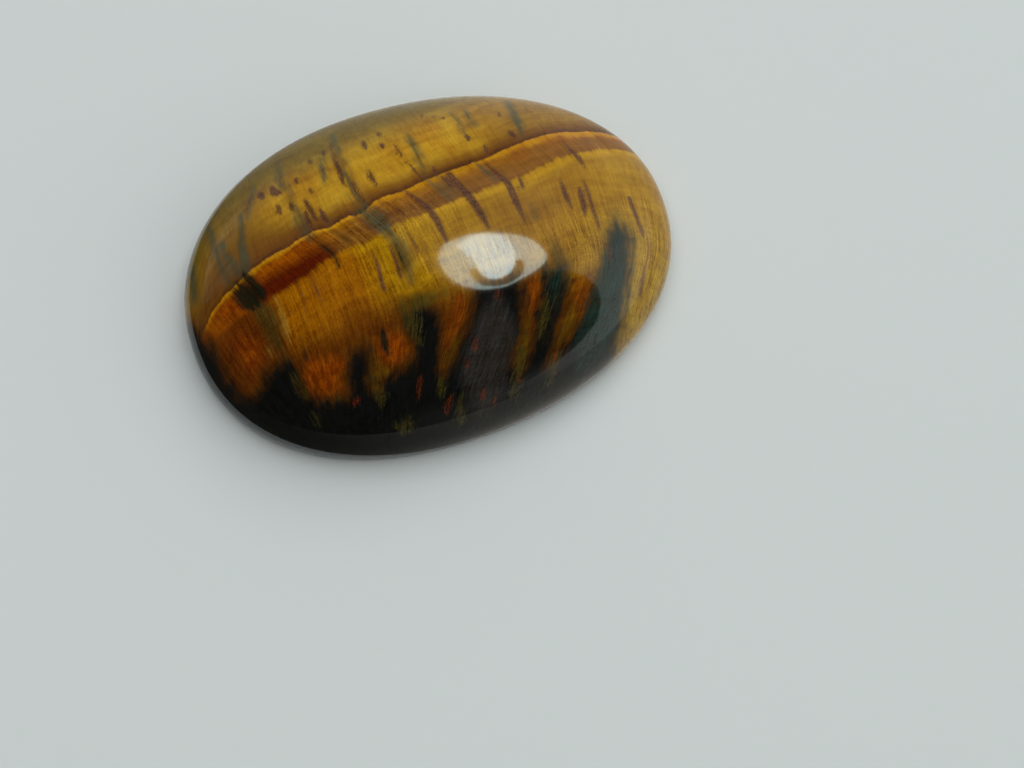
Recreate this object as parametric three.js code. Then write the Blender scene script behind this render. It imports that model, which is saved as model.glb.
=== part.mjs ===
// A polished tiger's eye: one oval cabochon, ground from a single piece of banded stone.
// It has a high smooth dome, a narrow upright girdle, a ground bevel and a flat back.
// Millimetres, +Z up. The flat back lies on Z = 0, centred on the origin, with the length along X.
import * as THREE from "three";

// Driving dimensions.
const LENGTH = 34.0;
const WIDTH = 23.9;
const BEVEL = 0.7; // height and width of the bevel round the back
const GIRDLE = 0.6; // height of the upright band between the bevel and the dome
const DOME = 6.9; // height of the dome above the girdle

// Character of the hand-ground oval.
const SQUARENESS = 2.15; // exponent of the outline, where 2 is a plain ellipse
const EGG = -0.048; // share by which the half-width changes towards +X, so the -X end is blunter
const BEND = -0.016; // share of the half-width by which both ends lean towards -Y
const SHOULDER = 2.1; // exponent of the dome's section, where 2 is a plain ellipse

// Fineness of the facets.
const SEGMENTS = 112; // round the outline
const DOME_RINGS = 19; // from the girdle to the top
const HALFWAY_OUT = 0.5; // share of the way out that tells the back's edge from its middle

const GIRDLE_TOP = BEVEL + GIRDLE;

// A sine or cosine raised to the outline's power, with its sign kept.
function rounded(value) {
  return Math.sign(value) * Math.abs(value) ** (2 / SQUARENESS);
}

// The outline's shape at an angle in the XY plane, for half sizes of 1.
function shapeAt(angle) {
  const along = rounded(Math.cos(angle));
  const across = rounded(Math.sin(angle));
  return new THREE.Vector2(along, across * (1 + EGG * along) + BEND * along * along);
}

// The box round that shape, which the egg and the bend widen and move a little.
const shapeBox = new THREE.Box2();
for (let i = 0; i < SEGMENTS; i++) {
  shapeBox.expandByPoint(shapeAt((i / SEGMENTS) * Math.PI * 2));
}
const shapeCentre = shapeBox.getCenter(new THREE.Vector2());
const shapeSize = shapeBox.getSize(new THREE.Vector2());

// The outline's point at an angle, at its real size and centred on the origin.
function outlineAt(angle) {
  const point = shapeAt(angle).sub(shapeCentre);
  return point.multiply(new THREE.Vector2(LENGTH / shapeSize.x, WIDTH / shapeSize.y));
}

// The stone's section, from the middle of the back round to the top of the dome.
// x is the share of the way from the axis to the outline, and y the height.
function section() {
  const backEdge = 1 - (2 * BEVEL) / WIDTH;
  const points = [
    new THREE.Vector2(0, 0),
    new THREE.Vector2(backEdge, 0),
    new THREE.Vector2(1, BEVEL),
  ];
  for (let i = 0; i <= DOME_RINGS; i++) {
    const turn = (i / DOME_RINGS) * (Math.PI / 2);
    const share = i === DOME_RINGS ? 0 : Math.cos(turn) ** (2 / SHOULDER);
    points.push(new THREE.Vector2(share, GIRDLE_TOP + DOME * Math.sin(turn)));
  }
  return points;
}

// A round turned blank whose every ring is then drawn out to the oval outline.
// The back's edge keeps its true distance from the outline, so the bevel is even all round.
function cabochon() {
  const geometry = new THREE.LatheGeometry(section(), SEGMENTS);
  geometry.rotateX(Math.PI / 2);
  const position = geometry.getAttribute("position");
  for (let i = 0; i < position.count; i++) {
    const x = position.getX(i);
    const y = position.getY(i);
    const z = position.getZ(i);
    const share = Math.hypot(x, y);
    const edge = outlineAt(Math.atan2(y, x));
    const onBackEdge = z < BEVEL / 2 && share > HALFWAY_OUT;
    const reach = onBackEdge ? 1 - BEVEL / edge.length() : share;
    position.setXYZ(i, edge.x * reach, edge.y * reach, z);
  }
  geometry.computeVertexNormals();
  return geometry;
}

const polishedStone = new THREE.MeshStandardMaterial({
  color: 0x8a5a16,
  roughness: 0.08,
  metalness: 0.0,
});

const stone = new THREE.Mesh(cabochon(), polishedStone);
stone.name = "stone";

const tigersEye = new THREE.Group();
tigersEye.add(stone);

export default tigersEye;
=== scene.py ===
# %% [markdown]
# # A polished tiger's eye
# Tiger's eye is quartz that grew round fine parallel fibres. Cut along the fibres and domed, it
# shows silky bands of gold, brown and blue-black. This lesson builds one oval cabochon: its shape
# with Geometry Nodes, its bands as a solid pattern through the whole stone, and then the table,
# lamp and camera. Lengths are in metres, and names that end in _MM hold millimetres.

# %% Load the frame
import math

import bpy
import numpy as np
from mathutils import Matrix, Vector


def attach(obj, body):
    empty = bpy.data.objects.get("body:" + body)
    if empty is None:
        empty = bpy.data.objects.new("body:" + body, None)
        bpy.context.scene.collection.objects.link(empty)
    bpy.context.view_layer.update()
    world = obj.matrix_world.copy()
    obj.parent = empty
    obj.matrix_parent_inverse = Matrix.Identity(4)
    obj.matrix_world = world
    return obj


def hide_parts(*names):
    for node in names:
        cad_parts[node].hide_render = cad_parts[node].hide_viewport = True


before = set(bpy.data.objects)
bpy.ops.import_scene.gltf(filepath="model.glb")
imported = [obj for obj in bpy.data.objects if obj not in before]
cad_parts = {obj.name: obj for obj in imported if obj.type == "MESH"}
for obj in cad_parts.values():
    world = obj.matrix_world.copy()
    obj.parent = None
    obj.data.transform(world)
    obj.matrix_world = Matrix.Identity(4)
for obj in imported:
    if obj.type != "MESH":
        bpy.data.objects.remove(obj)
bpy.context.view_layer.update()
MM = 0.001

# %% [markdown]
# ## Sums on sockets
# The shape and the colours are both formulas. Nodes can hold any formula, but a long one is hard
# to follow as loose Math nodes, so a small wrapper lets sums on sockets be written as sums.
# `a * b + 1` on two wires makes the two Math nodes and links them.


# %% Wires that make Math nodes
def feed(tree, socket, value):
    """Links a wire to a socket, or sets the socket's own value."""
    if isinstance(value, Wire):
        tree.links.new(value.socket, socket)
    else:
        socket.default_value = value


class Wire:
    """The output of a node. Sums on wires build Math nodes in the same tree."""

    def __init__(self, tree, socket):
        self.tree = tree
        self.socket = socket

    def math(self, operation, *values):
        node = self.tree.nodes.new("ShaderNodeMath")
        node.operation = operation
        for socket, value in zip(node.inputs, values):
            feed(self.tree, socket, value)
        return Wire(self.tree, node.outputs[0])

    def __add__(self, other):
        return self.math("ADD", self, other)

    def __sub__(self, other):
        return self.math("SUBTRACT", self, other)

    def __rsub__(self, other):
        return self.math("SUBTRACT", other, self)

    def __mul__(self, other):
        return self.math("MULTIPLY", self, other)

    def __truediv__(self, other):
        return self.math("DIVIDE", self, other)

    def __rtruediv__(self, other):
        return self.math("DIVIDE", other, self)

    def __pow__(self, other):
        return self.math("POWER", self, other)

    def __abs__(self):
        return self.math("ABSOLUTE", self)

    __radd__ = __add__
    __rmul__ = __mul__

    def most(self, other):
        return self.math("MAXIMUM", self, other)

    def least(self, other):
        return self.math("MINIMUM", self, other)

    def ramp(self, start, end, low=0.0, high=1.0):
        """Rises smoothly from low at start to high at end. start may be above end."""
        inputs = {"Value": self, "From Min": start, "From Max": end, "To Min": low, "To Max": high}
        node = add_node(self.tree, "ShaderNodeMapRange", inputs, interpolation_type="SMOOTHSTEP")
        return Wire(self.tree, node.outputs[0])


def add_node(tree, kind, inputs=None, **settings):
    """A new node with its settings, and its inputs fed by name."""
    node = tree.nodes.new(kind)
    for name, value in settings.items():
        setattr(node, name, value)
    for name, value in (inputs or {}).items():
        feed(tree, node.inputs[name], value)
    return node


def join_xyz(tree, x, y, z):
    """One vector from three wires or numbers."""
    return Wire(tree, add_node(tree, "ShaderNodeCombineXYZ", {"X": x, "Y": y, "Z": z}).outputs[0])


def split_xyz(tree, vector):
    """Three wires from one vector."""
    node = add_node(tree, "ShaderNodeSeparateXYZ", {"Vector": vector})
    return [Wire(tree, socket) for socket in node.outputs]


def new_tree(name, kind, inputs, outputs):
    """A node tree with named inputs and outputs, and a wire for each input."""
    tree = bpy.data.node_groups.new(name, kind)
    for socket_name, socket_type, default in inputs:
        socket = tree.interface.new_socket(socket_name, in_out="INPUT", socket_type=socket_type)
        if default is not None:
            socket.default_value = default
    for socket_name, socket_type in outputs:
        tree.interface.new_socket(socket_name, in_out="OUTPUT", socket_type=socket_type)
    group_in = tree.nodes.new("NodeGroupInput")
    group_out = tree.nodes.new("NodeGroupOutput")
    wires = {name: Wire(tree, group_in.outputs[name]) for name, _, _ in inputs}
    return tree, wires, group_out


print("wires ready")

# %% [markdown]
# ## The shape of the stone
# A cabochon is ground by hand on a wheel, so its oval is a little squarer than an ellipse, one
# end is blunter, and the dome is fuller near the rim. The same few numbers as in the CAD solid
# describe it, so the fine mesh made here has the same form. Only its corners are softer.

# %% The stone's measures
LENGTH = 34.0 * MM
WIDTH = 23.9 * MM
BEVEL = 0.7 * MM  # height and width of the bevel round the back
GIRDLE = 0.6 * MM  # height of the upright band above the bevel
DOME = 6.9 * MM  # height of the dome above the girdle
CORNER = 0.08 * MM  # how far the bevel's two corners are rounded
CHIP_DEPTH = 0.10 * MM
SQUARENESS = 2.15  # exponent of the outline, where 2 is a plain ellipse
EGG = -0.048  # share by which the half-width changes towards +X
BEND = -0.016  # share of the half-width by which both ends lean towards -Y
SHOULDER = 2.1  # exponent of the dome's section, where 2 is a plain ellipse
CELLS_LONG = 248  # grid cells along the stone, and across it
CELLS_WIDE = 184
OUTLINE_STEPS = 1440  # directions in which the outline is measured

turns = np.linspace(0, 2 * math.pi, OUTLINE_STEPS, endpoint=False)


def rounded(values):
    """A sine or cosine raised to the outline's power, with its sign kept."""
    return np.sign(values) * np.abs(values) ** (2 / SQUARENESS)


def outline_shape(angle):
    """The oval before it is scaled to its length and width."""
    along = rounded(np.cos(angle))
    across = rounded(np.sin(angle)) * (1 + EGG * along) + BEND * along**2
    return np.stack([along, across], axis=-1)


shape_low = outline_shape(turns).min(axis=0)
shape_high = outline_shape(turns).max(axis=0)
shape_middle = (shape_low + shape_high) / 2
shape_scale = np.array([LENGTH, WIDTH]) / (shape_high - shape_low)


def outline_at(angle):
    """The outline's points at their real size, round the stone's middle."""
    return (outline_shape(angle) - shape_middle) * shape_scale


print("outline box before scaling:", shape_low.round(4), shape_high.round(4))

# %% [markdown]
# ## Growing the cabochon from a grid
# A lathe would leave a pole of thin slivers at the top, right where the lamp is reflected. A
# square grid pressed into the oval keeps its cells nearly even instead. Each point's distance
# from the middle sets how far it has come down the dome, and its direction picks the point of
# the outline that it moves towards. That point is stored, so the rings below can use it again.

# %% The Cabochon tree and its dome
FLOAT = "NodeSocketFloat"
SWEEP_START = 1.2  # how fast the grid turns down the dome at the middle, for even cells
SWEEP_POWER = 3.5  # how late the rest of the turn is added, near the rim

shape_inputs = [
    ("Length Scale", FLOAT, float(shape_scale[0])),
    ("Width Scale", FLOAT, float(shape_scale[1])),
    ("Shape Middle", FLOAT, float(shape_middle[1])),
    ("Squareness", FLOAT, SQUARENESS),
    ("Egg", FLOAT, EGG),
    ("Bend", FLOAT, BEND),
    ("Shoulder", FLOAT, SHOULDER),
    ("Dome", FLOAT, DOME),
    ("Girdle", FLOAT, GIRDLE),
    ("Bevel", FLOAT, BEVEL),
    ("Corner", FLOAT, CORNER),
    ("Chip Depth", FLOAT, CHIP_DEPTH),
    ("Cells Long", "NodeSocketInt", CELLS_LONG),
    ("Cells Wide", "NodeSocketInt", CELLS_WIDE),
    ("Stone", "NodeSocketMaterial", None),
]
cabochon, given, cabochon_out = new_tree(
    "Cabochon", "GeometryNodeTree", shape_inputs, [("Geometry", "NodeSocketGeometry")]
)


def node_wire(kind, inputs=None, output=0, **settings):
    """One output of a new node of the Cabochon tree."""
    return Wire(cabochon, add_node(cabochon, kind, inputs, **settings).outputs[output])


def signed_power(value, power):
    """The value's size raised to a power, with its sign kept."""
    return value.math("SIGN", value) * abs(value) ** power


def blank_grid():
    """A flat square grid from -1 to 1, and how far out and which way each point lies."""
    grid_inputs = {
        "Size X": 2.0,
        "Size Y": 2.0,
        "Vertices X": given["Cells Long"] + 1,
        "Vertices Y": given["Cells Wide"] + 1,
    }
    grid = node_wire("GeometryNodeMeshGrid", grid_inputs)
    u, v, _ = split_xyz(cabochon, node_wire("GeometryNodeInputPosition"))
    reach = abs(u).most(abs(v))
    even_u = u.math("TANGENT", u * (math.pi / 4))
    even_v = u.math("TANGENT", v * (math.pi / 4))
    return grid, reach, u.math("ARCTAN2", even_v, even_u)


def outline_point(angle):
    """X and Y of the finished outline in a direction."""
    power = 2 / given["Squareness"]
    along = signed_power(angle.math("COSINE", angle), power)
    across = signed_power(angle.math("SINE", angle), power)
    across = across * (1 + given["Egg"] * along) + given["Bend"] * along * along
    return along * given["Length Scale"], (across - given["Shape Middle"]) * given["Width Scale"]


def moved(mesh, x, y, z, selection=True):
    """The mesh with its points, or the selected ones, put at x, y, z."""
    inputs = {"Geometry": mesh, "Selection": selection, "Position": join_xyz(cabochon, x, y, z)}
    return node_wire("GeometryNodeSetPosition", inputs)


dome_mesh, reach, angle = blank_grid()
edge_x, edge_y = outline_point(angle)
dome_mesh = node_wire(
    "GeometryNodeStoreNamedAttribute",
    {"Geometry": dome_mesh, "Name": "outline", "Value": join_xyz(cabochon, edge_x, edge_y, 0.0)},
    data_type="FLOAT_VECTOR",
    domain="POINT",
)
edge_x, edge_y, _ = split_xyz(
    cabochon,
    node_wire("GeometryNodeInputNamedAttribute", {"Name": "outline"}, data_type="FLOAT_VECTOR"),
)
edge_reach = edge_x.math("SQRT", edge_x * edge_x + edge_y * edge_y)

sweep = reach * SWEEP_START + reach**SWEEP_POWER * (math.pi / 2 - SWEEP_START)
share = sweep.math("SINE", sweep).most(0.0) ** (2 / given["Shoulder"])
rise = sweep.math("COSINE", sweep).most(0.0) * given["Dome"]
shoulder_height = given["Bevel"] + given["Girdle"]
dome_mesh = moved(dome_mesh, edge_x * share, edge_y * share, shoulder_height + rise)
print("dome:", len(cabochon.nodes), "nodes")

# %% [markdown]
# The edge below the dome is a handful of rings. Each is extruded from the last and put on the
# stored outline or a small step inside it, at its own height. Where a wheel grinds a bevel, tiny
# chips break the corners: a noise that only counts above a threshold pushes the ring inwards.

# %% Girdle, bevel and chips
CHIP_SCALE = 0.8  # size of the noise, in waves per millimetre
CHIP_DETAIL = 3.0
CHIP_THRESHOLD = 0.62
CHIP_SOFTNESS = 0.1
SIDE_SEED = 3.0  # where in the noise the chips of the bevel's upper corner lie
BACK_SEED = 9.0  # and those of its lower corner, round the back
ROUND_CORNER = 0.3  # how far a corner's middle ring stands inside the corner's two sides


def chips(x, y, seed):
    """Rare small bites along an edge, by the outline point: 0 nearly everywhere."""
    spot = join_xyz(cabochon, x / MM, y / MM, seed)
    noise_inputs = {"Vector": spot, "Scale": CHIP_SCALE, "Detail": CHIP_DETAIL}
    noise = node_wire("ShaderNodeTexNoise", noise_inputs)
    return noise.ramp(CHIP_THRESHOLD, CHIP_THRESHOLD + CHIP_SOFTNESS) * given["Chip Depth"]


def next_ring(mesh, inset, height):
    """Extrudes the free edge, then puts the new ring inside the outline, at a height."""
    faces = cabochon.nodes.new("GeometryNodeInputMeshEdgeNeighbors")
    free = add_node(cabochon, "FunctionNodeCompare", data_type="INT", operation="EQUAL")
    cabochon.links.new(faces.outputs[0], free.inputs[2])
    free.inputs[3].default_value = 1  # an edge with one face is free
    extruded = add_node(
        cabochon,
        "GeometryNodeExtrudeMesh",
        {"Mesh": mesh, "Selection": Wire(cabochon, free.outputs[0]), "Offset Scale": 0.0},
        mode="EDGES",
    )
    keep = 1 - inset / edge_reach
    new_edge = Wire(cabochon, extruded.outputs["Top"])
    mesh = Wire(cabochon, extruded.outputs["Mesh"])
    return moved(mesh, edge_x * keep, edge_y * keep, height, new_edge)


corner = given["Corner"]
bevel = given["Bevel"]
nothing = corner * 0.0
side_chips = chips(edge_x, edge_y, SIDE_SEED)
back_chips = chips(edge_x, edge_y, BACK_SEED)
# How far each ring stands inside the outline, and its height, from the girdle down to the back.
rings = [
    (nothing, bevel + given["Girdle"] * 0.5),
    (nothing, bevel + corner),
    (corner * ROUND_CORNER + side_chips, bevel),
    (corner, bevel - corner),
    (bevel - corner, corner),
    (bevel + back_chips, corner * ROUND_CORNER),
    (bevel + corner + back_chips, nothing),
]
edge_mesh = dome_mesh
for inset, height in rings:
    edge_mesh = next_ring(edge_mesh, inset, height)
print("with the", len(rings), "rings of the edge:", len(cabochon.nodes), "nodes")

# %% [markdown]
# The back is a second grid, pressed into the same oval but smaller by the bevel. The last ring
# lands on its rim, point on point, and Merge by Distance welds the two.

# %% The back, and the finished solid
WELD = 0.002 * MM

back_mesh, reach, angle = blank_grid()
rim_x, rim_y = outline_point(angle)
rim_reach = rim_x.math("SQRT", rim_x * rim_x + rim_y * rim_y)
inner = reach * (1 - (bevel + corner + chips(rim_x, rim_y, BACK_SEED)) / rim_reach)
back_mesh = moved(back_mesh, rim_x * inner, rim_y * inner, nothing)
back_mesh = node_wire("GeometryNodeFlipFaces", {"Mesh": back_mesh})

together = cabochon.nodes.new("GeometryNodeJoinGeometry")
cabochon.links.new(back_mesh.socket, together.inputs[0])
cabochon.links.new(edge_mesh.socket, together.inputs[0])
joined = Wire(cabochon, together.outputs[0])
welded = node_wire("GeometryNodeMergeByDistance", {"Geometry": joined, "Distance": WELD})
smooth = node_wire("GeometryNodeSetShadeSmooth", {"Geometry": welded})
real = node_wire("GeometryNodeRealizeInstances", {"Geometry": smooth})
painted = node_wire("GeometryNodeSetMaterial", {"Geometry": real, "Material": given["Stone"]})
cabochon.links.new(painted.socket, cabochon_out.inputs[0])
print("finished tree:", len(cabochon.nodes), "nodes")

# %% Run the tree and keep a plain mesh
stone_material = bpy.data.materials.new("polished tigers eye")
stone_material.use_nodes = True

blank = bpy.data.objects.new("blank", bpy.data.meshes.new("blank"))
bpy.context.scene.collection.objects.link(blank)
modifier = blank.modifiers.new("Cabochon", "NODES")
modifier.node_group = cabochon
for item in cabochon.interface.items_tree:
    if item.name == "Stone":
        modifier[item.identifier] = stone_material
bpy.context.view_layer.update()
grown = blank.evaluated_get(bpy.context.evaluated_depsgraph_get())
stone = bpy.data.objects.new("tigers_eye", bpy.data.meshes.new_from_object(grown))
bpy.context.scene.collection.objects.link(stone)
bpy.data.objects.remove(blank)
stone.data.name = "tigers_eye"
stone.data.attributes.remove(stone.data.attributes["outline"])

points = np.zeros(len(stone.data.vertices) * 3)
stone.data.vertices.foreach_get("co", points)
points = points.reshape(-1, 3)
loop_edges = np.zeros(len(stone.data.loops), int)
stone.data.loops.foreach_get("edge_index", loop_edges)
faces_at_edge = np.bincount(loop_edges, minlength=len(stone.data.edges))
stone.data.calc_loop_triangles()
print("stone, mm:", (points.min(axis=0) / MM).round(3), (points.max(axis=0) / MM).round(3))
print("triangles:", len(stone.data.loop_triangles), "open edges:", (faces_at_edge != 2).sum())

# %% [markdown]
# ## Where the fibres run
# The bands are what makes the stone. Its fibres grew as parallel threads and were later bent
# and sheared, so a picture of straight stripes would look false. Instead every point gets three
# numbers: which fibre it is on, how far along that fibre it lies from the sharp seam, and its
# height. To find them, each point walks back along the fibres to the seam. The seam and the
# fibres' lean are read off the stone, in millimetres, as a few named points.

# %% The seam, the second gold line and the lean of the fibres
SEAM_MM = [
    (-17.5, -1.2), (-16.2, -0.3), (-15.4, 0.45), (-14.9, 1.0), (-13.7, 1.7), (-13.2, 1.87),
    (-12.4, 2.25), (-11.5, 2.63), (-10.4, 2.96), (-8.8, 3.2), (-8.1, 3.45), (-7.2, 3.6),
    (-6.5, 3.67), (-6.1, 3.56), (-5.5, 3.6), (-4.9, 3.78), (-4.3, 3.9), (-3.9, 3.75),
    (-3.4, 3.8), (-2.9, 4.05), (-2.5, 4.3), (-1.7, 4.45), (-0.7, 4.42), (0.0, 4.5),
    (1.0, 4.7), (2.0, 4.8), (4.0, 4.95), (6.0, 5.17), (7.0, 5.4), (8.0, 5.58), (9.0, 5.7),
    (10.0, 5.81), (11.0, 5.8), (12.0, 5.6), (13.0, 5.52), (14.0, 5.35), (15.2, 5.0), (17.5, 3.9),
]  # fmt: skip
GOLD_LINE_MM = [
    (-17.5, -2.5), (-15.0, -0.8), (-13.5, -0.2), (-10.8, 0.2), (-9.4, 0.56), (-8.0, 0.9),
    (-6.9, 1.33), (-6.0, 1.5), (-5.0, 1.8), (-3.9, 1.7), (-3.0, 1.9), (-1.7, 2.3), (0.0, 2.35),
    (2.0, 2.58), (3.6, 2.8), (5.0, 2.87), (6.2, 3.04), (7.5, 3.05), (8.8, 3.4), (10.0, 3.73),
    (11.7, 3.9), (13.0, 3.9), (14.6, 3.8), (16.0, 3.4), (17.5, 3.0),
]  # fmt: skip
# Sideways millimetres for each millimetre towards -Y, by x, in four zones from +Y to -Y.
LEAN_ABOVE = [(-16, -0.3), (-13, 0.0), (-11, -0.1), (-8, 0.08), (-4, 0.16), (0, 0.3), (16, 0)]
LEAN_BAND = [(-16, 0.3), (-12, 0.6), (-4, 0.65), (0, 0.55), (5, 0.55), (10, 0.45), (16, 0.3)]
LEAN_MIDDLE = [(-16, 0.35), (-13, 0.2), (-11, 0.05), (0, 0.12), (10, 0.03), (14, -0.05), (17, -0.2)]
LEAN_LOW = [
    (-16, 0.5), (-13, 0.4), (-11, 0.25), (-9.5, 0.05), (-8, -0.1), (-5, -0.3), (-2, -0.55),
    (1, -0.8), (5, -0.65), (9, -0.8), (12, -0.5), (15, -0.8), (17, -0.9),
]  # fmt: skip
LOW_START = -2.0  # y where the low lean begins, and how many mm it takes to set in
LOW_REACH = 3.5
SEAM_BLEND = 0.15  # mm on each side of the seam over which the lean changes
LINE_BLEND_ABOVE = 0.5  # the same above the second gold line, and below it
LINE_BLEND_BELOW = 0.6
print("seam:", len(SEAM_MM), "points; second gold line:", len(GOLD_LINE_MM), "points")

# %% Walking along the fibres
WALK_STEPS = 60


def along_line(line, x):
    """The height of a drawn line, or the value of a drawn curve, at x."""
    knots = np.array(line, float)
    return np.interp(x, knots[:, 0], knots[:, 1])


def smooth_step(values, start, end):
    """Rises smoothly from 0 at start to 1 at end. start may be above end."""
    share = np.clip((values - start) / (end - start), 0, 1)
    return share * share * (3 - 2 * share)


def fibre_lean(x, y):
    """How far a fibre moves towards +X for each millimetre that it runs towards -Y."""
    seam = along_line(SEAM_MM, x)
    gold_line = along_line(GOLD_LINE_MM, x)
    lean = along_line(LEAN_ABOVE, x)
    below_seam = smooth_step(y, seam + SEAM_BLEND, seam - SEAM_BLEND)
    lean = lean + (along_line(LEAN_BAND, x) - lean) * below_seam
    below_line = smooth_step(y, gold_line + LINE_BLEND_ABOVE, gold_line - LINE_BLEND_BELOW)
    lean = lean + (along_line(LEAN_MIDDLE, x) - lean) * below_line
    low = smooth_step(y, LOW_START, LOW_START - LOW_REACH)
    return lean + (along_line(LEAN_LOW, x) - lean) * low


def walk_to_seam(x, y):
    """Each point's fibre, as the x where it crosses the seam, and its length from there."""
    x = x.copy()
    y = y.copy()
    length = np.zeros(len(x))
    for step in range(WALK_STEPS):
        rise = (along_line(SEAM_MM, x) - y) / (WALK_STEPS - step)
        lean = fibre_lean(x, y)
        x -= lean * rise
        y += rise
        length += rise * np.sqrt(1 + lean * lean)
    return x, length


print("lean at the origin:", fibre_lean(np.zeros(1), np.zeros(1)).round(2))

# %% [markdown]
# On the dome the pattern is the one seen from above. Deeper down it is shifted, because the
# bands lean, so the back isn't a mirror image of the front.

# %% Each point's fibre numbers
BAND_TILT_X = 0.22  # mm by which the pattern is shifted for each mm below the dome
BAND_TILT_Y = -0.14

x_mm, y_mm, z_mm = (points / MM).T
outline_x, outline_y = outline_at(turns).T
outline_turn = np.unwrap(np.arctan2(outline_y, outline_x))
outline_radius = np.hypot(outline_x, outline_y) / MM
point_turn = np.mod(np.arctan2(y_mm, x_mm) - outline_turn[0], 2 * math.pi) + outline_turn[0]
outline_share = np.hypot(x_mm, y_mm) / np.interp(point_turn, outline_turn, outline_radius)
dome_height = np.sqrt(np.clip(1 - outline_share**SHOULDER, 0, 1)) * DOME + BEVEL + GIRDLE
sunk = np.maximum(dome_height / MM - z_mm, 0)
x_seen = x_mm + BAND_TILT_X * sunk
y_seen = y_mm + BAND_TILT_Y * sunk

fibre, run = walk_to_seam(x_seen, y_seen)
seam_gap = along_line(SEAM_MM, x_seen) - y_seen
band = seam_gap / (along_line(SEAM_MM, x_seen) - along_line(GOLD_LINE_MM, x_seen))
print("fibres from", fibre.min().round(1), "to", fibre.max().round(1), "mm")
print("run along the fibre:", run.min().round(1), "to", run.max().round(1), "mm")

# %% [markdown]
# ## The marks
# Veins, flecks, dark tongues and warm flames are the stone's own fingerprint. Each is a stroke:
# a few points with a radius, like one pull of a brush. What is stored is not a painted mask but
# how far each point lies inside the nearest stroke, in millimetres. The material can then cut a
# crisp or feathered edge wherever it wants, much finer than the mesh.

# %% Thin dark veins, and the flecks above the seam
VEINS_MM = [
    [(-0.3, 4.4, 0.2), (0.15, 3.7, 0.15), (0.73, 2.9, 0.15), (1.1, 1.9, 0.19), (1.35, 0.2, 0.2)],
    [(2.8, 4.75, 0.25), (3.04, 4.1, 0.18), (3.6, 2.8, 0.28), (3.9, 1.9, 0.28), (4.25, 0.3, 0.3)],
    [(2.3, 4.65, 0.1), (2.8, 3.7, 0.12)],
    [(5.3, 4.95, 0.2), (5.8, 4.0, 0.16), (6.4, 3.0, 0.2), (6.5, 1.9, 0.21), (6.7, 0.0, 0.2)],
    [(7.25, 3.2, 0.10), (7.3, 2.3, 0.10)],
    [(6.9, 2.7, 0.04), (6.95, 2.1, 0.06)],
    [(10.9, 5.5, 0.07), (11.2, 4.5, 0.11), (11.7, 3.6, 0.12), (11.8, 2.8, 0.07)],
    [(9.9, 2.4, 0.11), (9.9, 1.2, 0.14), (10.0, 0.1, 0.07)],
    [(10.95, 1.4, 0.16), (10.85, 0.3, 0.18), (10.75, -0.5, 0.1)],
    [(11.35, 2.0, 0.08), (11.45, 1.2, 0.12), (11.4, -0.3, 0.07), (11.45, -1.6, 0.1)],
    [(14.2, 0.1, 0.10), (14.25, -1.2, 0.12), (14.3, -2.6, 0.08)],
    [(13.8, -4.6, 0.06), (13.3, -5.6, 0.08), (12.9, -6.3, 0.05)],
    [(-2.3, 1.1, 0.08), (-2.25, -0.1, 0.08), (-2.3, -1.2, 0.05)],
    [(-0.9, 1.6, 0.04), (-0.75, 0.2, 0.05)],
    [(-8.9, 1.0, 0.05), (-8.8, -0.6, 0.06), (-8.9, -2.0, 0.05)],
    [(-7.9, 0.8, 0.04), (-7.7, -1.0, 0.05)],
    [(-3.6, 1.2, 0.05), (-3.5, 0.0, 0.07), (-3.6, -1.6, 0.05)],
    [(-4.2, 4.1, 0.04), (-3.5, 3.1, 0.05), (-3.0, 2.2, 0.04)],
    [(-2.7, 4.1, 0.04), (-1.9, 3.2, 0.04), (-1.3, 2.5, 0.04)],
    [(-2.1, 4.3, 0.03), (-1.4, 3.4, 0.04), (-0.9, 2.7, 0.03)],
]
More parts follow.
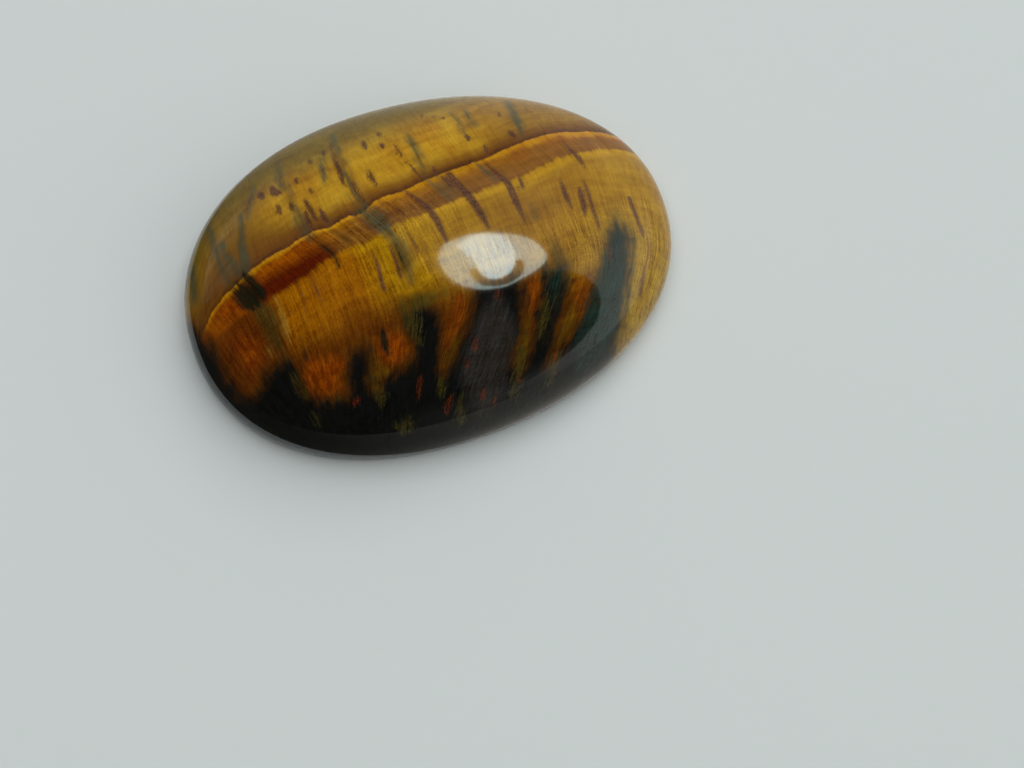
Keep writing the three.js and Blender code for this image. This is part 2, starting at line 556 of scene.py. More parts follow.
FLECKS_MM = [
    [(-9.48, 7.75, 0.2), (-9.4, 7.3, 0.25)],
    [(-8.62, 7.85, 0.2), (-8.55, 7.3, 0.2), (-8.2, 7.15, 0.2)],
    [(-6.95, 7.8, 0.1), (-6.95, 7.45, 0.1)],
    [(-5.68, 8.9, 0.14), (-5.6, 8.55, 0.15)],
    [(-4.6, 9.2, 0.13), (-4.6, 8.85, 0.13)],
    [
        (-4.0, 9.6, 0.06), (-4.03, 8.4, 0.1), (-4.03, 7.1, 0.13), (-3.98, 6.5, 0.07),
        (-3.75, 5.8, 0.05),
    ],  # fmt: skip
    [(-3.42, 6.1, 0.1), (-3.3, 5.3, 0.07), (-3.1, 4.5, 0.06)],
    [(-1.9, 8.95, 0.15), (-1.9, 8.3, 0.2)],
    [(-0.75, 9.3, 0.12), (-0.6, 8.95, 0.12)],
    [(-0.76, 8.3, 0.1), (-0.76, 8.0, 0.1)],
    [(-6.2, 6.72, 0.11), (-6.18, 6.3, 0.1)],
    [(-8.6, 6.4, 0.11), (-8.65, 5.5, 0.14)],
    [(-7.75, 6.2, 0.17), (-7.8, 5.6, 0.17)],
    [(-6.75, 6.0, 0.13), (-6.6, 5.15, 0.13), (-6.4, 4.3, 0.09)],
    [(-6.95, 5.1, 0.12), (-6.9, 4.0, 0.12)],
    [(-5.95, 5.1, 0.14), (-5.88, 4.2, 0.17), (-5.65, 3.65, 0.12)],
    [(-2.2, 6.7, 0.18), (-2.1, 6.05, 0.2), (-2.0, 5.3, 0.12)],
    [(0.1, 8.0, 0.09), (0.12, 7.25, 0.13), (0.27, 6.8, 0.08)],
    [(0.27, 6.8, 0.05), (0.75, 5.7, 0.05), (1.0, 5.0, 0.06)],
    [(4.88, 7.2, 0.1), (4.92, 6.75, 0.1)],
    [(7.75, 6.7, 0.15), (7.95, 6.1, 0.16)],
    [(5.7, 6.0, 0.07), (5.72, 5.4, 0.09)],
    [(2.0, 5.45, 0.07), (2.0, 5.0, 0.07)],
    [(3.2, 9.4, 0.07), (3.25, 9.2, 0.07)],
    [(3.75, 9.1, 0.07), (3.8, 8.95, 0.07)],
    [(2.5, 9.8, 0.06), (2.52, 9.6, 0.06)],
    [(7.5, 8.4, 0.1), (7.55, 8.1, 0.1)],
    [(-10.8, 6.8, 0.08), (-10.2, 7.6, 0.08)],
]
print(len(VEINS_MM), "veins and", len(FLECKS_MM), "flecks")

# %% Blue-grey streaks, and pale khaki ones
STEEL_MM = [
    [(-13.5, 7.6, 0.15), (-13.5, 5.9, 0.2), (-13.4, 3.8, 0.2), (-13.1, 2.2, 0.3)],
    [(-11.1, 6.6, 0.15), (-11.7, 4.3, 0.25), (-11.9, 2.5, 0.35)],
    [(-12.7, 4.4, 0.15), (-12.4, 2.4, 0.3)],
    [(-7.75, 9.6, 0.2), (-7.85, 7.75, 0.2), (-7.7, 5.6, 0.2)],
    [(-7.7, 6.3, 0.15), (-7.5, 4.6, 0.2), (-7.3, 3.3, 0.2)],
    [(-3.72, 10.2, 0.15), (-3.7, 7.3, 0.18), (-3.5, 5.3, 0.25), (-3.1, 3.9, 0.3)],
    [(-9.9, 8.3, 0.15), (-10.7, 6.3, 0.15)],
    [(-15.4, 4.9, 0.15), (-15.7, 2.2, 0.25)],
    [(1.2, 8.6, 0.12), (1.3, 5.2, 0.16)],
    [(4.5, 9.2, 0.12), (4.8, 7.2, 0.12)],
    [(5.4, 9.2, 0.16), (5.45, 7.8, 0.16)],
    [(8.5, 9.4, 0.25), (8.4, 6.3, 0.28)],
    [(-12.9, 5.2, 0.1), (-12.8, 3.6, 0.12)],
    [(-5.0, 8.6, 0.08), (-5.1, 7.0, 0.1)],
    [(-3.6, 4.1, 0.4), (-2.9, 3.3, 0.6), (-2.3, 2.5, 0.55), (-1.9, 1.5, 0.3)],
    [(-3.0, 4.0, 0.3), (-2.3, 3.1, 0.4), (-2.0, 2.4, 0.3)],
    [(-2.0, 2.2, 0.25), (-1.75, 0.6, 0.28), (-1.75, -1.6, 0.28)],
    [(1.3, 4.7, 0.12), (1.9, 3.85, 0.14), (2.45, 2.9, 0.12)],
    [(2.0, 4.7, 0.12), (2.5, 3.9, 0.16), (2.9, 3.2, 0.12)],
    [(4.9, 4.9, 0.12), (5.35, 4.0, 0.12), (5.7, 3.3, 0.1)],
    [(7.4, 1.2, 0.1), (7.5, 0.2, 0.12)],
]
BLACK_MM = [
    [(-13.1, 1.8, 0.38), (-12.5, 0.9, 0.42), (-12.1, 0.1, 0.4)],
    [(-12.6, 2.2, 0.38), (-12.1, 1.2, 0.42), (-11.7, 0.2, 0.4)],
    [(-12.1, 2.5, 0.38), (-11.6, 1.5, 0.42), (-11.3, 0.5, 0.4)],
    [(-4.4, -3.9, 0.2), (-4.5, -4.6, 0.3), (-4.6, -5.6, 0.25)],
    [(-1.95, 1.0, 0.1), (-1.9, -1.0, 0.12)],
    [(-7.2, 3.5, 0.05), (-6.65, 2.63, 0.1), (-6.1, 1.87, 0.08), (-5.9, 0.8, 0.0)],
    [(-5.8, 3.6, 0.02), (-5.1, 2.6, 0.04), (-4.7, 1.9, 0.0)],
    [(-9.6, -2.6, 0.0), (-9.75, -3.6, 0.05), (-9.8, -4.3, 0.1)],
]
PALE_MM = [
    [(-10.5, 0.2, 0.08), (-10.4, -1.5, 0.16), (-10.5, -3.0, 0.12)],
    [(-1.35, 2.25, 0.15), (-1.25, 1.3, 0.1)],
    [(-8.0, 4.9, 0.1), (-7.9, 4.5, 0.1)],
    [(-12.0, -2.6, 0.12), (-11.9, -3.3, 0.1)],
    [(10.1, 3.1, 0.1), (9.9, 2.7, 0.1)],
    [(13.5, -2.0, 0.2), (13.1, -4.4, 0.2), (12.4, -6.6, 0.16), (11.6, -8.2, 0.12)],
]
print(len(STEEL_MM), "blue-grey streaks and", len(PALE_MM), "pale ones")

# %% The dark zone as one outline, and the warm flames that run down into it
NIGHT_MM = [
    (-18.5, 1.0), (-16.8, 0.9), (-16.3, 0.3), (-15.9, -0.8), (-15.5, -2.2), (-15.1, -3.6),
    (-14.6, -4.8), (-13.9, -5.3), (-13.2, -5.1), (-12.7, -4.5), (-12.2, -4.1), (-11.5, -3.9),
    (-11.0, -3.9), (-10.75, -4.4), (-10.7, -5.3), (-10.3, -6.4), (-9.7, -7.0), (-8.9, -7.4),
    (-8.0, -7.3), (-7.55, -7.0), (-7.4, -6.2), (-6.9, -5.5), (-6.5, -4.9), (-6.1, -4.6),
    (-5.75, -4.9), (-5.9, -5.8), (-6.2, -6.8), (-6.25, -7.6), (-5.8, -7.7), (-5.2, -7.1),
    (-4.5, -7.0), (-3.9, -6.9), (-3.3, -6.6), (-2.75, -6.1), (-2.7, -5.2), (-3.0, -4.2),
    (-2.8, -3.7), (-2.2, -3.3), (-1.4, -3.4), (-0.8, -3.9), (-0.75, -4.9), (-1.2, -6.2),
    (-1.75, -7.4), (-1.4, -7.9), (-0.9, -7.4), (-0.3, -6.7), (0.2, -6.2), (0.9, -5.5),
    (1.6, -4.6), (1.9, -3.9), (2.1, -3.4), (5.0, -3.2), (5.15, -4.3), (4.8, -5.4),
    (4.2, -6.6), (3.5, -7.6), (3.0, -8.6), (3.3, -9.0), (4.0, -8.6), (4.9, -7.2), (5.6, -5.9),
    (6.2, -4.9), (6.6, -4.1), (6.9, -3.4), (8.2, -3.5), (8.2, -4.4), (7.7, -5.6), (7.0, -6.5),
    (6.4, -7.4), (5.8, -8.4), (5.3, -9.3), (5.6, -9.5), (6.6, -8.5), (7.6, -7.7), (8.5, -7.0),
    (9.2, -6.2), (9.7, -5.5), (10.1, -5.0), (10.6, -4.5), (11.1, -3.8), (11.4, -3.0),
    (11.8, -2.4), (12.1, -2.0), (12.6, -1.9), (13.1, -1.9), (13.2, -2.6), (12.8, -3.5),
    (12.3, -4.8), (11.7, -6.2), (11.1, -7.6), (10.5, -9.0), (9.9, -10.2), (8.0, -14.0),
    (-8.0, -14.0), (-18.0, -11.0),
]  # fmt: skip
# Inside the dark: a grey tongue, and blue-green ones.
SLATE_MM = [[(3.3, -4.6, 1.3), (2.4, -6.4, 1.4), (1.2, -8.4, 1.5), (0.4, -10.5, 1.5)]]
TEAL_MM = [
    [(12.8, -0.9, 0.8), (12.2, -3.4, 0.9), (11.0, -5.3, 1.1), (9.8, -7.4, 1.3), (7.8, -9.6, 1.4)],
    [(8.1, -1.8, 0.5), (8.0, -2.9, 0.6), (7.8, -3.8, 0.5), (6.9, -5.6, 0.2)],
]
# In the flames: red-orange cores, and ochre edges and tips.
EMBER_MM = [
    [(-9.5, -4.7, 1.2), (-9.2, -5.8, 1.2), (-9.0, -6.6, 0.5)],
    [(-8.2, -4.8, 0.8), (-8.2, -5.8, 0.7)],
    [(-4.3, -4.4, 0.7), (-4.2, -5.3, 0.9), (-4.0, -6.1, 0.5)],
    [(-3.4, -5.2, 0.2), (-3.3, -5.9, 0.35)],
    [(-0.2, -4.9, 0.2), (-0.5, -5.8, 0.15), (-0.9, -6.3, 0.1)],
    [(1.1, -3.4, 0.3), (0.75, -4.6, 0.2), (0.1, -5.6, 0.1)],
    [(6.2, -3.6, 0.5), (5.8, -4.8, 0.5), (5.3, -5.8, 0.3)],
    [(9.6, -4.5, 0.25), (9.4, -5.2, 0.3), (9.2, -5.9, 0.3), (8.5, -7.0, 0.25)],
    [(8.9, -4.4, 0.2), (8.4, -5.6, 0.15)],
    [(-14.6, 0.6, 0.3), (-13.6, 0.9, 0.35), (-12.9, 0.4, 0.2)],
    [(-13.6, -1.2, 0.4), (-13.2, -2.6, 0.6), (-13.3, -3.6, 0.4)],
]
OCHRE_MM = [
    [(-8.8, -7.2, 0.4), (-8.7, -7.6, 0.3)],
    [(-5.5, -5.4, 0.35), (-5.8, -6.6, 0.3), (-5.9, -7.4, 0.2)],
    [(-4.9, -6.4, 0.3), (-5.0, -6.9, 0.2)],
    [(-0.9, -6.4, 0.3), (-1.3, -7.3, 0.25)],
    [(0.3, -5.6, 0.4), (-0.6, -6.9, 0.3), (-1.0, -7.7, 0.15)],
    [(5.5, -5.2, 0.3), (4.9, -6.4, 0.35), (4.2, -7.6, 0.35), (3.6, -8.8, 0.3)],
    [(8.1, -5.9, 0.2), (7.4, -7.0, 0.45), (6.6, -8.1, 0.25)],
]
# Red sparks on the dark, and olive smears on it and round its edges.
SPARK_MM = [
    [(-2.95, -7.4, 0.1), (-3.1, -7.9, 0.1), (-3.45, -8.7, 0.05)],
    [(3.6, -3.8, 0.1), (3.4, -4.4, 0.08)],
    [(0.4, -7.4, 0.08), (0.2, -7.8, 0.08)],
    [(1.2, -6.4, 0.12), (1.0, -7.0, 0.1)],
    [(0.8, -9.4, 0.1), (0.6, -9.9, 0.12)],
    [(1.5, -10.0, 0.08), (1.2, -10.6, 0.08)],
    [(-1.5, -9.3, 0.1), (-1.7, -9.7, 0.16), (-2.0, -10.1, 0.12)],
    [(3.4, -9.3, 0.16), (3.2, -9.7, 0.16)],
    [(5.2, -6.3, 0.1), (4.9, -6.9, 0.1)],
    [(11.7, -3.0, 0.1), (11.5, -3.7, 0.08)],
    [(11.4, -2.0, 0.1), (11.3, -2.5, 0.08)],
    [(-7.6, -7.9, 0.12), (-7.3, -7.7, 0.1)],
    [(6.2, -8.4, 0.06), (5.9, -9.0, 0.06)],
]
OLIVE_MM = [
    [(-5.5, -10.1, 0.2), (-4.6, -10.15, 0.3), (-4.2, -10.2, 0.15)],
    [(-5.8, -7.6, 0.2), (-5.9, -8.4, 0.12)],
    [(-1.7, -8.0, 0.15), (-2.0, -8.9, 0.1)],
    [(-0.8, -9.6, 0.12), (-1.2, -10.8, 0.12)],
    [(4.1, -7.8, 0.3), (3.4, -9.2, 0.25), (2.6, -10.4, 0.2)],
    [(6.2, -8.6, 0.2), (5.6, -9.6, 0.12), (5.1, -10.2, 0.06)],
    [(6.7, -5.0, 0.15), (6.0, -6.4, 0.2), (5.3, -7.4, 0.15)],
    [(-10.9, -5.2, 0.1), (-10.5, -6.6, 0.14)],
    [(-10.4, -7.6, 0.12), (-10.0, -8.4, 0.1)],
    [(-11.8, 0.5, 0.6), (-11.4, -1.2, 0.55), (-11.2, -3.2, 0.6)],
    [(-3.0, -3.1, 0.3), (-2.3, -2.9, 0.45), (-1.2, -3.0, 0.5), (0.0, -2.9, 0.3)],
    [(-2.6, -3.0, 0.3), (-2.5, -4.0, 0.35), (-2.5, -5.4, 0.3)],
]
print("dark zone:", len(NIGHT_MM), "corners;", len(EMBER_MM), "embers;", len(SPARK_MM), "sparks")

# %% [markdown]
# Two small measuring functions turn those lists into distances: one for strokes, whose radius
# changes evenly from point to point, and one for a closed outline.


# %% How far inside the marks each point lies
def leg_distance(x, y, start, end):
    """The distance to a straight leg, and the share of the leg that is nearest."""
    dx = end[0] - start[0]
    dy = end[1] - start[1]
    share = np.clip(((x - start[0]) * dx + (y - start[1]) * dy) / (dx * dx + dy * dy), 0, 1)
    return np.hypot(x - start[0] - share * dx, y - start[1] - share * dy), share


FAR_AWAY = 2.0  # mm, the distance from the marks beyond which none is measured
STROKE_TAPER = 0.7  # how much thinner a stroke is at its two ends
TAPER_POWER = 3  # how near to the ends the thinning stays
TINY = 1e-9  # stands in for zero in a division


def inside_strokes(strokes, x, y):
    """Millimetres inside the nearest stroke, and negative outside."""
    best = np.full(len(x), -FAR_AWAY)
    for stroke in strokes:
        legs = len(stroke) - 1
        for leg, (start, end) in enumerate(zip(stroke, stroke[1:])):
            distance, share = leg_distance(x, y, start, end)
            radius = start[2] + share * (end[2] - start[2])
            from_middle = abs(2 * (leg + share) / legs - 1)
            radius = radius * (1 - STROKE_TAPER * from_middle**TAPER_POWER)
            best = np.maximum(best, radius - distance)
    return best


def inside_outline(corners, x, y):
    """Millimetres inside a closed outline, and negative outside."""
    nearest = np.full(len(x), FAR_AWAY)
    inside = np.zeros(len(x), bool)
    for start, end in zip(corners, corners[1:] + corners[:1]):
        distance, _ = leg_distance(x, y, start, end)
        nearest = np.minimum(nearest, distance)
        crosses = (start[1] > y) != (end[1] > y)
        slope = (end[0] - start[0]) / ((end[1] - start[1]) or TINY)
        inside ^= crosses & (x < start[0] + (y - start[1]) * slope)
    return np.where(inside, nearest, -nearest)


def store(name, values, kind="FLOAT", field="value"):
    """Keeps one number, or one vector, for each point of the stone's mesh."""
    attribute = stone.data.attributes.new(name, kind, "POINT")
    attribute.data.foreach_set(field, np.ascontiguousarray(values, np.float32).ravel())


print("measures at", len(x_seen), "points")

# %% Store the numbers on the mesh
store("fibre", np.stack([fibre, run, z_mm], axis=-1), "FLOAT_VECTOR", "vector")
store("band", band)
store("night", inside_outline(NIGHT_MM, x_seen, y_seen))
for mark_name, strokes in (
    ("vein", VEINS_MM + FLECKS_MM),
    ("steel", STEEL_MM),
    ("black", BLACK_MM),
    ("pale", PALE_MM),
    ("slate", SLATE_MM),
    ("teal", TEAL_MM),
    ("ember", EMBER_MM),
    ("ochre", OCHRE_MM),
    ("spark", SPARK_MM),
    ("olive", OLIVE_MM),
):
    measured = inside_strokes(strokes, x_seen, y_seen)
    store(mark_name, measured)
    print(f"{mark_name}: {100 * (measured > 0).mean():.1f}% of the points lie inside")
# The polish fades out low on the girdle, and from the bevel down the stone is only ground.
fade_top = (BEVEL + 0.3 * GIRDLE) / MM
fade_foot = (BEVEL - 0.02 * MM) / MM
store("ground", smooth_step(z_mm, fade_top, fade_foot))

# %% [markdown]
# ## Fibre grain
# The silk of the stone comes from threads a tenth of a millimetre thick. Noise stretched a lot
# along the fibres and hardly at all across them gives such threads. Because it reads the
# fibre numbers and not the place, the threads bend with the bands. The group gives several
# sizes, since the band edges, the colours and the polish all read the same threads. Two of
# them run the other way: where the threads are kinked, fine ripples cross them.

# %% The grain group
VECTOR = "NodeSocketVector"
COLOUR = "NodeSocketColor"
GRAIN_NAMES = ("Fine", "Broad", "Patches", "Streak", "Ripple", "Weave", "Mottle", "Grit")

grain_tree, grain_in, grain_out = new_tree(
    "Fibre grain",
    "ShaderNodeTree",
    [("Fibre", VECTOR, None), ("Threads per mm", FLOAT, 8.5), ("Stretch", FLOAT, 20.0)],
    [(name, FLOAT) for name in GRAIN_NAMES],
)
fibre_x, fibre_run, fibre_z = split_xyz(grain_tree, grain_in["Fibre"])


def grain(across, along, deep, detail=2.0, roughness=0.55):
    """Noise with its own number of grains per millimetre in each direction."""
    place = join_xyz(grain_tree, fibre_x * across, fibre_run * along, fibre_z * deep)
    node = add_node(
        grain_tree,
        "ShaderNodeTexNoise",
        {"Vector": place, "Scale": 1.0, "Detail": detail, "Roughness": roughness},
    )
    return Wire(grain_tree, node.outputs[0])


per_mm = grain_in["Threads per mm"]
# Each has its grains per millimetre across the threads, along them and down into the stone.
grain_wires = {
    "Fine": grain(per_mm, per_mm / grain_in["Stretch"], per_mm * 0.3),
    "Broad": grain(1.8, 0.3, 0.5),
    "Patches": grain(0.38, 0.3, 0.3),
    "Streak": grain(4.2, 0.5, 1.0, detail=3.0, roughness=0.6),
    "Ripple": grain(0.22, 2.0, 0.6, detail=3.0),
    "Weave": grain(1.6, 5.0, 2.0),
    "Mottle": grain(2.6, 1.4, 1.5, detail=3.0),
    "Grit": grain(9.0, 6.0, 6.0, roughness=0.7),
}
for name, wire in grain_wires.items():
    grain_tree.links.new(wire.socket, grain_out.inputs[name])
print("grain group:", len(grain_tree.nodes), "nodes")

# %% [markdown]
# ## The bands
# From the top edge down the stone goes from ochre, through a brown shadow, over the seam with
# its bright gold edge, across a red-brown band to a second gold line, and on into the wide
# golden field. Each step is a smooth change in how far the point lies from the seam, pushed to
# and fro by the grain so that no edge is a clean curve.

# %% Colours, as they look in soft light
LIGHT_LEVEL = 0.8  # how bright a white card looks where the stone lies


def seen(red, green, blue):
    """The surface colour that looks like this screen colour in the scene's light."""
    # From screen values to amounts of light, by the sRGB rule.
    screen = np.array([red, green, blue]) / 255
    linear = np.where(screen > 0.04045, ((screen + 0.055) / 1.055) ** 2.4, screen / 12.92)
    return (*np.clip(linear / LIGHT_LEVEL, 0, 1), 1.0)


OCHRE_LEFT = seen(128, 92, 16)
OCHRE_GOLD = seen(172, 130, 28)
OCHRE_WARM = seen(166, 118, 22)
OCHRE_RIGHT = seen(136, 98, 14)
OCHRE_RIM = seen(104, 82, 14)
SEAM_BROWN = seen(104, 62, 14)
SEAM_DARK = seen(62, 34, 16)
GOLD_EDGE = seen(178, 124, 6)
GOLD_LINE = seen(172, 128, 10)
BAND_ORANGE = seen(140, 71, 1)
BAND_RED = seen(80, 22, 0)
BAND_TAN = seen(144, 92, 14)
BAND_BROWN = seen(120, 76, 20)
FIELD_LEFT = seen(94, 44, 2)
FIELD_AMBER = seen(142, 84, 0)
FIELD_GOLD = seen(150, 108, 2)
FIELD_OCHRE = seen(141, 99, 12)
FIELD_RIGHT = seen(150, 110, 17)
FIELD_DEEP = seen(148, 112, 16)
AMBER = seen(88, 44, 2)
print("field gold as a surface colour:", [round(float(v), 3) for v in FIELD_GOLD])


# %% The bands group
def mixed(tree, factor, first, second):
    """The first colour, turned into the second as the factor goes from 0 to 1."""
    node = tree.nodes.new("ShaderNodeMix")
    node.data_type = "RGBA"
    # Sockets 6 and 7 are the two colours, and output 2 is the mixed one.
    feed(tree, node.inputs[0], factor)
    feed(tree, node.inputs[6], first)
    feed(tree, node.inputs[7], second)
    return Wire(tree, node.outputs[2])


GRAIN_INPUTS = [(name, FLOAT, 0.5) for name in GRAIN_NAMES]
bands, band_in, bands_out = new_tree(
    "Stone bands",
    "ShaderNodeTree",
    [("Fibre", VECTOR, None), ("Band", FLOAT, 0.0), *GRAIN_INPUTS],
    [("Colour", COLOUR)],
)
# In millimetres, side is where the fibre crosses the seam, and depth how far below the seam the
# point lies on it. Above the seam depth is negative.
side, depth, _ = split_xyz(bands, band_in["Fibre"])
fine = band_in["Fine"]
broad = band_in["Broad"]
patches = band_in["Patches"]
feather = (fine - 0.5) * 0.35 + (broad - 0.5) * 0.5
frayed = depth + feather * 0.45
step_across = band_in["Band"] + feather * 0.4

ochre = mixed(bands, patches.ramp(0.38, 0.62), OCHRE_WARM, OCHRE_GOLD)
ochre = mixed(bands, side.ramp(-8.0, -12.5), ochre, OCHRE_LEFT)
ochre = mixed(bands, side.ramp(4.0, 9.0), ochre, OCHRE_RIGHT)
ochre = mixed(bands, depth.ramp(-3.2, -6.0), ochre, OCHRE_RIM)
shadow_width = side.ramp(-14.0, -4.0, 4.4, 1.6) + (broad - 0.5) * 1.5
ochre = mixed(bands, (frayed / shadow_width).ramp(-1.0, -0.1), ochre, SEAM_BROWN)
above = mixed(bands, frayed.ramp(-0.5, -0.02) * broad.ramp(0.3, 0.6, 0.3, 0.8), ochre, SEAM_DARK)

red_share = side.ramp(-5.6, -8.0)
band_low = mixed(bands, red_share, BAND_BROWN, BAND_RED)
band_low = mixed(bands, side.ramp(-12.2, -13.4) * 0.7, band_low, BAND_ORANGE)
band_top = mixed(bands, red_share, BAND_TAN, BAND_ORANGE)
band_top = mixed(bands, side.ramp(5.5, 9.0) * 0.4, band_top, BAND_ORANGE)
band_colour = mixed(bands, (step_across + patches - 0.5).ramp(0.05, 0.65), band_top, band_low)
field = mixed(bands, side.ramp(-12.6, -11.4), FIELD_LEFT, FIELD_AMBER)
field = mixed(bands, side.ramp(-7.0, -4.0), field, FIELD_GOLD)
field = mixed(bands, side.ramp(1.5, 5.5), field, FIELD_OCHRE)
field = mixed(bands, side.ramp(9.5, 13.0), field, FIELD_RIGHT)
field = mixed(bands, depth.ramp(4.5, 9.0) * side.ramp(6.0, 12.0), field, FIELD_DEEP)
amber_start = side.ramp(-6.0, 2.0, 4.8, 6.6) + side.ramp(4.0, 7.0, 0.0, 2.3)
amber_start = amber_start + (patches - 0.5) * 2.0
amber_share = (depth - amber_start).ramp(0.0, 3.0) * side.ramp(12.5, 9.0)
field = mixed(bands, amber_share, field, AMBER)
below = mixed(bands, step_across.ramp(0.86, 1.08), band_colour, field)
second_line = step_across.ramp(0.9, 1.02) * step_across.ramp(1.45, 1.08)
below = mixed(bands, second_line * side.ramp(-9.0, 1.0, 0.0, 0.85), below, GOLD_LINE)
edge_width = broad.ramp(0.3, 0.7, 0.35, 0.9) * side.ramp(-9.0, 3.0, 0.7, 1.0)
first_line = frayed.ramp(-0.05, 0.04) * frayed.ramp(edge_width, 0.1)
below = mixed(bands, first_line * side.ramp(-16.0, -14.6, 0.0, 0.9), below, GOLD_EDGE)
colour = mixed(bands, frayed.ramp(-0.08, 0.04), above, below)
bands.links.new(colour.socket, bands_out.inputs["Colour"])
print("bands group:", len(bands.nodes), "nodes")

# %% [markdown]
# ## Veins, tongues and flames
# The marks are laid over the bands in the order in which they cut each other. Each has its own
# softness: a vein is crisp, the dark tongues are feathered along the threads, and the
# blue-grey streaks fade softly into the gold.

# %% The marks group
NIGHT = seen(11, 12, 10)
DUSK = seen(52, 35, 3)
SLATE = seen(40, 37, 33)
TEAL = seen(23, 38, 31)
EMBER_ORANGE = seen(138, 64, 0)
EMBER_RED = seen(98, 34, 1)
OCHRE_FLAME = seen(98, 68, 3)
OLIVE = seen(60, 52, 14)
STEEL = seen(60, 63, 43)
BLACK_GREEN = seen(16, 20, 10)
VEIN_PURPLE = seen(62, 36, 30)
VEIN_BROWN = seen(98, 60, 30)
PALE = seen(152, 128, 50)

MARK_NAMES = (
    "Night", "Slate", "Teal", "Ember", "Ochre", "Spark", "Olive", "Steel", "Black", "Pale", "Vein",
)  # fmt: skip
marks, mark_in, marks_out = new_tree(
    "Stone marks",
    "ShaderNodeTree",
    [
        ("Colour", COLOUR, (0.5, 0.3, 0.1, 1.0)),
        *GRAIN_INPUTS,
        *[(name, FLOAT, -1.0) for name in MARK_NAMES],
    ],
    [("Colour", COLOUR)],
)
mark_fine = mark_in["Fine"] - 0.5
mark_broad = mark_in["Broad"] - 0.5
mark_streak = mark_in["Streak"] - 0.5
mark_grit = mark_in["Grit"] - 0.5


def mark_mask(name, softness, fraying, grit=0.0):
    """Where a mark lies, with its edge softened and frayed along the threads."""
    place = mark_in[name] + (mark_fine + mark_broad + mark_streak) * fraying
    if grit:
        place = place + mark_grit * grit
    return place.ramp(-softness, softness)


look = mixed(marks, mark_mask("Pale", 0.3, 0.6) * 0.35, mark_in["Colour"], PALE)
mottling = (mark_in["Mottle"] - 0.5) * 1.2 + mark_broad * 0.6 + mark_grit * 0.8 + mark_streak
ember_colour = mixed(marks, mottling.ramp(-0.12, 0.2), EMBER_ORANGE, EMBER_RED)
look = mixed(marks, mark_mask("Ochre", 0.4, 0.8, 0.8) * 0.7, look, OCHRE_FLAME)
ember_place = mark_in["Ember"] + mark_fine * 0.8 + mottling
look = mixed(marks, ember_place.ramp(-0.55, 0.45) * 0.8, look, ember_colour)

night_place = mark_in["Night"] + mark_fine * 0.4 + mark_broad * 0.8 + mottling * 0.9
look = mixed(marks, night_place.ramp(-1.1, 0.2) * 0.6, look, DUSK)
night_colour = mixed(marks, mark_mask("Slate", 0.7, 0.4), NIGHT, SLATE)
night_colour = mixed(marks, mark_mask("Teal", 0.5, 0.8), night_colour, TEAL)
look = mixed(marks, night_place.ramp(-0.6, 0.55), look, night_colour)
look = mixed(marks, mark_mask("Teal", 0.6, 0.8) * 0.6, look, TEAL)
look = mixed(marks, mark_mask("Olive", 0.35, 0.9, 0.8) * 0.75, look, OLIVE)
look = mixed(marks, mark_mask("Spark", 0.16, 0.5, 0.8) * 0.5, look, EMBER_RED)
look = mixed(marks, mark_mask("Steel", 0.38, 0.9, 0.3) * 0.85, look, STEEL)
look = mixed(marks, mark_mask("Black", 0.2, 0.6, 0.3) * 0.95, look, BLACK_GREEN)
vein_colour = mixed(marks, mark_in["Grit"].ramp(0.42, 0.62), VEIN_PURPLE, VEIN_BROWN)
vein_place = mark_in["Vein"] + mark_fine * 0.4 + mark_broad * 0.4 + mark_grit * 0.5
look = mixed(marks, vein_place.ramp(-0.13, 0.05) * 0.9, look, vein_colour)
marks.links.new(look.socket, marks_out.inputs["Colour"])
print("marks group:", len(marks.nodes), "nodes")

# %% [markdown]
# ## Silk
# Last, the threads themselves. Brightness rises and falls from thread to thread, and a little
# along them. A darker thread is also redder, because more of its light has passed through iron
# oxide: its green and blue are dimmed more than its red. The threads stand out most below the
# seam, on the left half and low down, and a few tiny pale specks are sprinkled over them.

# %% The silk group
silk, silk_in, silk_out = new_tree(
    "Silk",
    "ShaderNodeTree",
    [("Colour", COLOUR, (0.5, 0.3, 0.1, 1.0)), ("Fibre", VECTOR, None), *GRAIN_INPUTS],
    [("Colour", COLOUR)],
)
# How far each grain swings the brightness, and how much farther where the threads stand out.
SILK_SWING = {
    "Broad": 0.4, "Patches": 0.35, "Streak": 0.15, "Ripple": 0.75, "Weave": 0.3, "Fine": 0.6,
    "Grit": 0.2,
}  # fmt: skip
CRISP_SWING = {"Fine": 0.9, "Streak": 0.7, "Mottle": 0.2, "Grit": 1.0}
DIMMEST = 0.1  # no thread is darker than this
GREEN_DIMMING = 1.3  # powers by which green and blue are dimmed more than red
BLUE_DIMMING = 1.7
SPECK = seen(176, 160, 110)
silk_side, silk_depth, _ = split_xyz(silk, silk_in["Fibre"])
crisp = silk_depth.ramp(-0.4, 0.5) * silk_side.ramp(4.0, -3.0).most(silk_depth.ramp(4.0, 7.5))
brightness = 1.0
for name, swing in SILK_SWING.items():
    brightness = (silk_in[name] - 0.5) * swing + brightness
for name, swing in CRISP_SWING.items():
    brightness = brightness + (silk_in[name] - 0.5) * swing * crisp
brightness = brightness.most(DIMMEST)
tint = join_xyz(silk, brightness, brightness**GREEN_DIMMING, brightness**BLUE_DIMMING)
silky = add_node(
    silk, "ShaderNodeVectorMath", {0: silk_in["Colour"], 1: tint}, operation="MULTIPLY"
)
specks = silk_in["Grit"].ramp(0.72, 0.8) * silk_in["Broad"].ramp(0.5, 0.65)
silky = mixed(silk, specks * 0.5, Wire(silk, silky.outputs[0]), SPECK)
silk.links.new(silky.socket, silk_out.inputs["Colour"])
print("silk group:", len(silk.nodes), "nodes")

